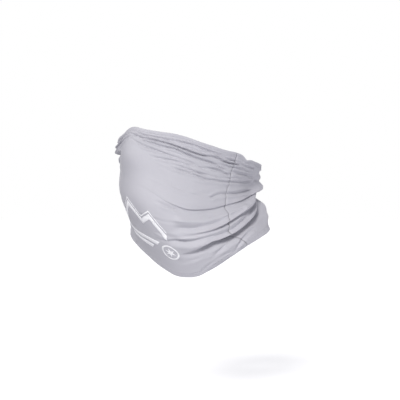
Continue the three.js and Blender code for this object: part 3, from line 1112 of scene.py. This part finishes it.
def share_to_down(angle, share):
    """The share of the cloth's length at which a share of the seen height lies, at an angle."""
    downs = np.linspace(0, 1, 400)
    seen, height, _ = fold_cloth(np.full(400, float(angle) % 360), downs)
    return float(np.interp(share, np.maximum.accumulate(seen / height), downs))


def ridge_outlines():
    """Three peaks as one band, with a thin line that follows above them."""
    half = 0.5 * RIDGE_WIDTH
    top = 0.5 * RIDGE_HEIGHT
    ridge = [
        (-half, -0.3 * top), (-0.62 * half, 0.55 * top), (-0.36 * half, 0.2 * top), (0, top),
        (0.36 * half, 0.2 * top), (0.6 * half, 0.6 * top), (half, -0.3 * top),
    ]
    found = []
    for rise, width in ((0, 2.1 * MARK_LINE), (1.25 * MARK_LINE, 0.55 * MARK_LINE)):
        upper = [(x, y + rise) for x, y in ridge]
        lower = [(x, y + rise - width) for x, y in reversed(ridge)]
        found.append((upper + lower)[::-1])
    return found


def bar_outline(width_share, height_share):
    """A level bar with slanted ends."""
    half = 0.5 * RIDGE_WIDTH * width_share
    level = 0.5 * RIDGE_HEIGHT * height_share
    inner = half - BAR_THICKNESS
    under = level - BAR_THICKNESS
    return [[(-half, level), (-inner, under), (inner, under), (half, level)]]


def circle(radius, count=72):
    turn = np.linspace(0, 2 * math.pi, count, endpoint=False)
    return np.stack([radius * np.cos(turn), radius * np.sin(turn)], -1)


def star_outline(arms, reach, waist):
    """A plain pointed star."""
    corners = []
    for corner in range(2 * arms):
        radius = reach if corner % 2 == 0 else waist
        turn = math.pi / 2 + math.pi * corner / arms
        corners.append((radius * math.cos(turn), radius * math.sin(turn)))
    return [corners]


front_spot = PrintSpot(RIDGE_ANGLE, share_to_down(RIDGE_ANGLE, RIDGE_SHARE))
badge_spot = PrintSpot(BADGE_ANGLE, share_to_down(BADGE_ANGLE, BADGE_SHARE))
upper_bar, lower_bar = map(bar_outline, BAR_WIDTH_SHARES, BAR_HEIGHT_SHARES)
ring_hole = circle(BADGE_RADIUS - 0.6 * MARK_LINE)[::-1]
star = star_outline(6, 0.62 * BADGE_RADIUS, 0.24 * BADGE_RADIUS)
front_prints = [
    ink_film("ridge_print", "ridge_mark", front_spot, ridge_outlines()),
    ink_film("upper_bar_print", "upper_mark_bar", front_spot, upper_bar),
    ink_film("lower_bar_print", "lower_mark_bar", front_spot, lower_bar),
    ink_film("badge_ring_print", "badge_ring", badge_spot, [circle(BADGE_RADIUS), ring_hole]),
    ink_film("badge_star_print", "badge_star", badge_spot, star),
]

# ---- care label

LABEL_LENGTH = 22
LABEL_WIDTH = 16
LABEL_SHARE = 0.92
RIBBON_THICKNESS = 0.3
LABEL_POINTS = 16
LABEL_ROWS = 14
LEAF_GAP = 0.55
LABEL_OFFSET = 2.2
LABEL_START = 0.5
LABEL_WAVE = 0.35
LABEL_RUN = 1.2


def make_care_label():
    """A folded ribbon sewn into the left seam, its fold hanging free inside the tube."""
    reach = np.linspace(0, 1, LABEL_POINTS)
    turn = np.linspace(-0.5 * math.pi, 0.5 * math.pi, 7)[1:-1]
    leaf = np.stack([LABEL_LENGTH * reach, np.full(LABEL_POINTS, -LEAF_GAP)], -1)
    bend = np.stack([LABEL_LENGTH + LEAF_GAP * np.cos(turn), LEAF_GAP * np.sin(turn)], -1)
    back_leaf = np.stack([LABEL_LENGTH * reach[::-1], np.full(LABEL_POINTS, LEAF_GAP)], -1)
    line = np.concatenate([leaf, bend, back_leaf])
    ahead = np.gradient(line, axis=0)
    ahead /= np.linalg.norm(ahead, axis=1, keepdims=True)
    side = np.stack([-ahead[:, 1], ahead[:, 0]], -1) * 0.5 * RIBBON_THICKNESS
    profile = np.concatenate([line + side, (line - side)[::-1]])
    shares = np.linspace(-0.5, 0.5, LABEL_ROWS)
    middle = share_to_down(LEFT_SEAM, LABEL_SHARE)
    down = middle + shares * LABEL_WIDTH / cloth_length(LEFT_SEAM)
    curl = 0.06 * profile[:, 0] + 0.004 * profile[:, 0] ** 2
    lift = -(CLOTH_THICKNESS + ALLOWANCE_THICKNESS + LABEL_OFFSET) - curl + profile[:, 1]
    angle = LEFT_SEAM + (LABEL_START + profile[:, 0]) / MM_PER_DEGREE
    wave = LABEL_WAVE * np.sin(2.5 * math.pi * shares)[:, None] * (profile[:, 0] / LABEL_LENGTH)[None]
    points = place(angle[None, :], down[:, None], lift[None, :] + wave)
    count = len(profile)
    faces = [(a, d, c, b) for a, b, c, d in tube_faces(LABEL_ROWS, count)]
    half = len(line)
    for row, outward in ((0, True), (LABEL_ROWS - 1, False)):
        for j in range(half - 1):
            a = row * count + j
            b = row * count + count - 1 - j
            quad = (a, a + 1, b - 1, b)
            faces.append(quad if outward else quad[::-1])
    run = np.tile(np.concatenate([np.arange(half), np.arange(half)[::-1]]) * LABEL_RUN, LABEL_ROWS)
    width = np.repeat(shares * LABEL_WIDTH, count)
    uvs = np.stack([run, width], -1)
    return make_piece("care_label_ribbon", "care_label", "label", points.reshape(-1, 3), faces, uvs)


care_label = make_care_label()

# ---- floor, light and camera


def plain_material(name, colour, glow):
    """A pale matt surface that also glows a little, so that it stays near white."""
    shader = Shader(name)
    shader.tint(colour, [shader.ramp(shader.noise(shader.solid(), 3), 0.995, 1.005)])
    shader.set(Roughness=0.9, Specular_IOR_Level=0.0, Emission_Color=(1, 1, 1, 1), Emission_Strength=glow)
    return shader.material


FLOOR_DROP = 0.16
FLOOR_RADIUS = 6
BACKDROP_RADIUS = 7
bpy.ops.mesh.primitive_circle_add(vertices=96, radius=FLOOR_RADIUS, fill_type="NGON")
floor = bpy.context.object
floor.name = "floor"
floor.location.z = -FLOOR_DROP
floor.data.materials.append(plain_material("pale floor", (0.8, 0.8, 0.8), 0.45))

bpy.ops.mesh.primitive_uv_sphere_add(segments=48, ring_count=24, radius=BACKDROP_RADIUS)
backdrop = bpy.context.object
backdrop.name = "backdrop"
backdrop.data.materials.append(plain_material("white backdrop", (0, 0, 0), 1.0))
for kind in ("visible_diffuse", "visible_glossy", "visible_transmission", "visible_shadow"):
    setattr(backdrop, kind, False)
floor.visible_diffuse = False
floor.visible_shadow = False

world = bpy.data.worlds.new("studio")
bpy.context.scene.world = world
world.use_nodes = True
sky = world.node_tree.nodes["Background"]
sky.inputs["Color"].default_value = (0.97, 0.965, 1.04, 1)
sky.inputs["Strength"].default_value = 0.46


def direction(azimuth, elevation):
    """The way from the object to a viewer or a light. Azimuth 0 is in front, 90 the wearer's left."""
    a, e = math.radians(azimuth), math.radians(elevation)
    return Vector((math.sin(a) * math.cos(e), -math.cos(a) * math.cos(e), math.sin(e)))


def soft_sun(name, azimuth, elevation, strength, spread, colour):
    """A large soft light from far off."""
    light = bpy.data.lights.new(name, "SUN")
    light.energy = strength
    light.color = colour
    light.angle = math.radians(spread)
    source = bpy.data.objects.new(name, light)
    source.rotation_euler = direction(azimuth, elevation).to_track_quat("Z", "Y").to_euler()
    bpy.context.scene.collection.objects.link(source)


soft_sun("key", azimuth=27, elevation=30, strength=2.12, spread=14, colour=(1, 0.99, 0.965))
soft_sun("shirt bounce", azimuth=85, elevation=-40, strength=0.72, spread=55, colour=(0.97, 0.97, 1))
soft_sun("back fill", azimuth=222, elevation=25, strength=0.9, spread=50, colour=(1, 1, 1))

CAMERA_AZIMUTH = 40
CAMERA_ELEVATION = 1.5
CAMERA_DISTANCE = 2.0
VIEW_WIDTH = 0.488
AIM_RIGHT = 0.0122
AIM_UP = 0.0927
to_right = direction(CAMERA_AZIMUTH + 90, 0)
to_camera = direction(CAMERA_AZIMUTH, CAMERA_ELEVATION)
aim = AIM_RIGHT * to_right + Vector((0, 0, AIM_UP))
camera_data = bpy.data.cameras.new("camera")
camera_data.sensor_width = 36
camera_data.lens = camera_data.sensor_width * CAMERA_DISTANCE / VIEW_WIDTH
camera = bpy.data.objects.new("camera", camera_data)
camera.location = aim + CAMERA_DISTANCE * to_camera
camera.rotation_euler = to_camera.to_track_quat("Z", "Y").to_euler()
bpy.context.scene.collection.objects.link(camera)
bpy.context.scene.camera = camera
bpy.context.scene.view_settings.view_transform = "Standard"
